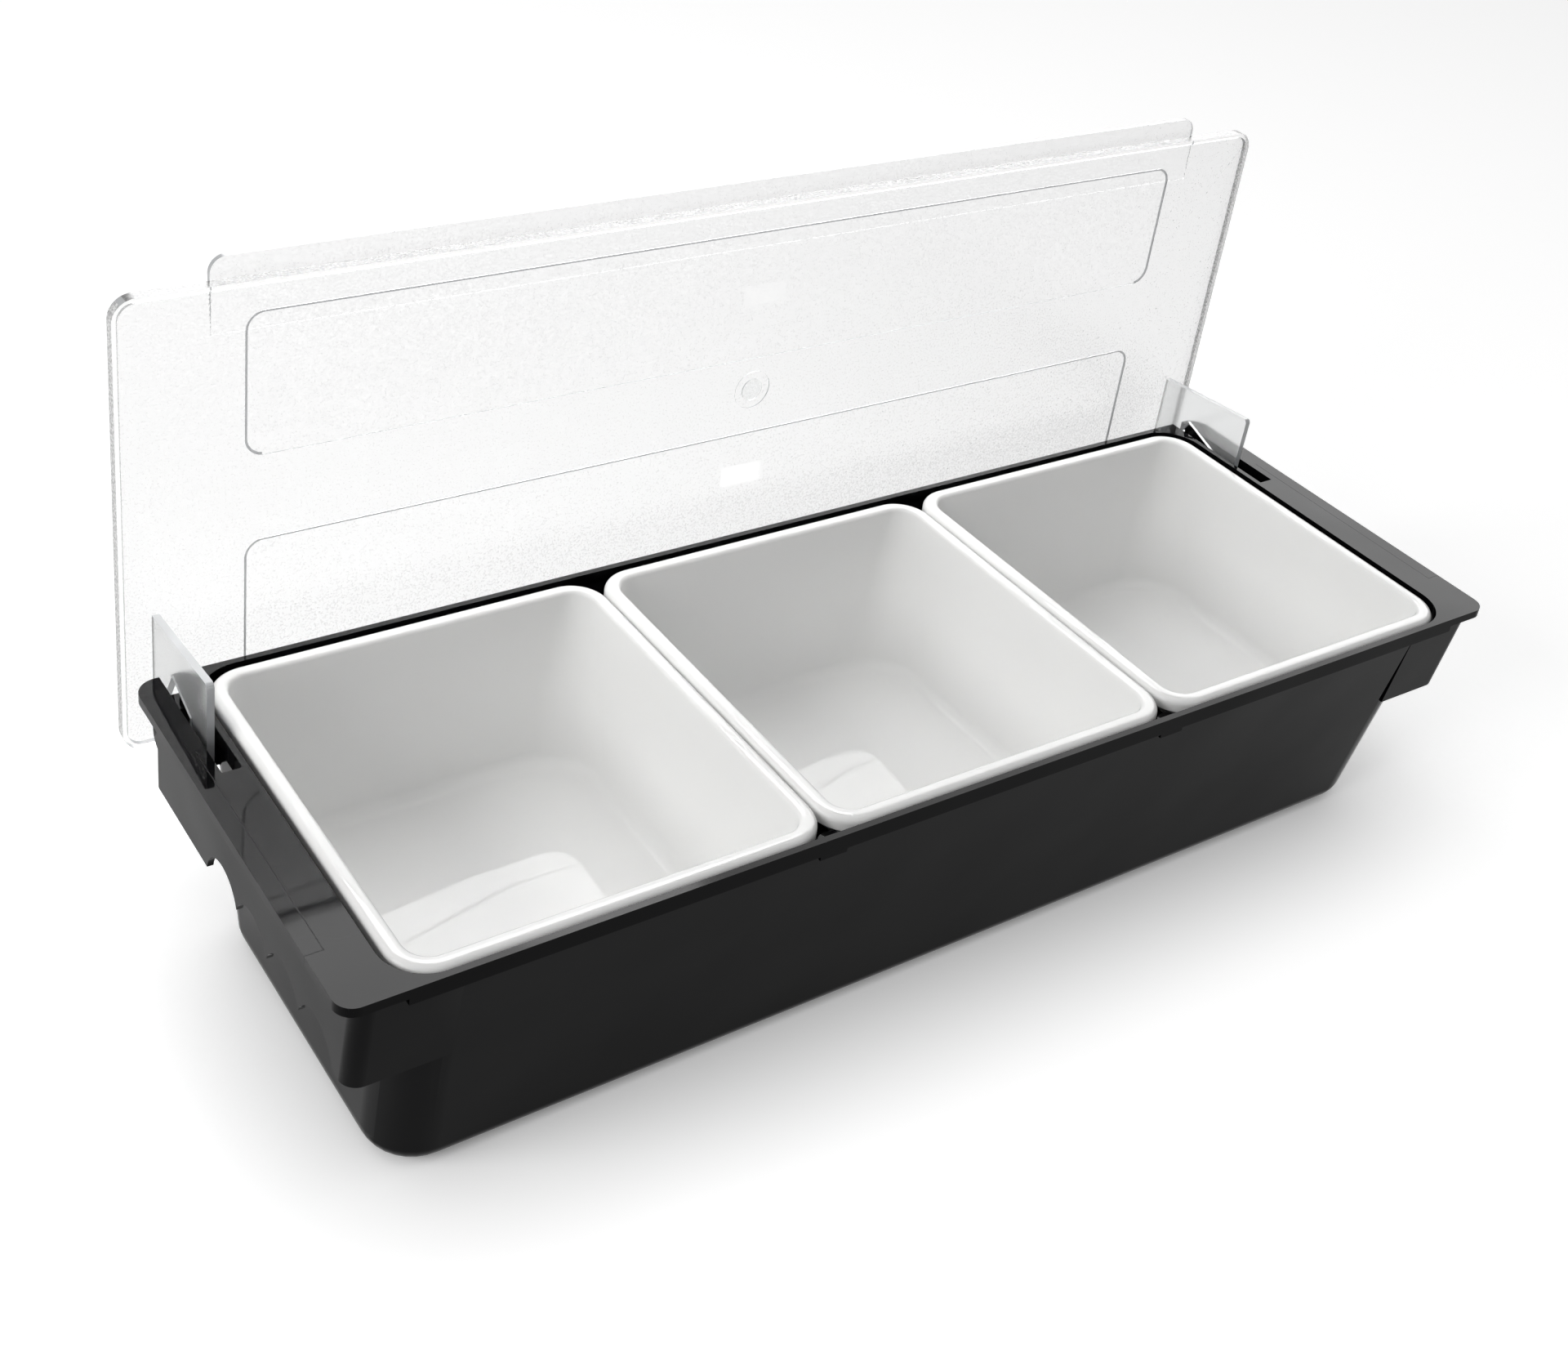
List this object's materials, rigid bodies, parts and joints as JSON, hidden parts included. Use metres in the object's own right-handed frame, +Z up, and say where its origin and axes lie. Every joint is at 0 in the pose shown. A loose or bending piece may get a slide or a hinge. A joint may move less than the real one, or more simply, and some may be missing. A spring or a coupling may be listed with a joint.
{
  "type": "condiment caddy",
  "caption": "Long bar caddy: a black tray with scalloped end handles holds lift-out white pans under a clear hinged lid.",
  "frame": {"origin": "centre of the tray's flat bottom, on the table", "axes": "+X along the tray to the right as seen from the front, +Y from the front to the hinge side, +Z up; the lid is stored open"},
  "size_m": [0.5, 0.1849, 0.2452],
  "materials": {
    "tray_plastic": "gloss black moulding",
    "pan_plastic": "gloss white moulding",
    "lid_plastic": "clear moulding with a fine pebbled texture and smooth panels"
  },
  "bodies": {
    "tray": {"tray": "tray_plastic"},
    "pan_left": {"pan_left": "pan_plastic"},
    "pan_middle": {"pan_middle": "pan_plastic"},
    "pan_right": {"pan_right": "pan_plastic"},
    "lid": {"lid": "lid_plastic"}
  },
  "joints": [
    {"name": "lid_hinge", "type": "hinge", "parent": "tray", "child": "lid", "pos_m": [0, 0.07475, 0.082], "axis": [1, 0, 0], "range_deg": [0, 90]},
    {"name": "pan_left_lift", "type": "slide", "parent": "tray", "child": "pan_left", "axis": [0, 0, 1], "range_m": [0, 0.13]},
    {"name": "pan_middle_lift", "type": "slide", "parent": "tray", "child": "pan_middle", "axis": [0, 0, 1], "range_m": [0, 0.13]},
    {"name": "pan_right_lift", "type": "slide", "parent": "tray", "child": "pan_right", "axis": [0, 0, 1], "range_m": [0, 0.13]}
  ]
}
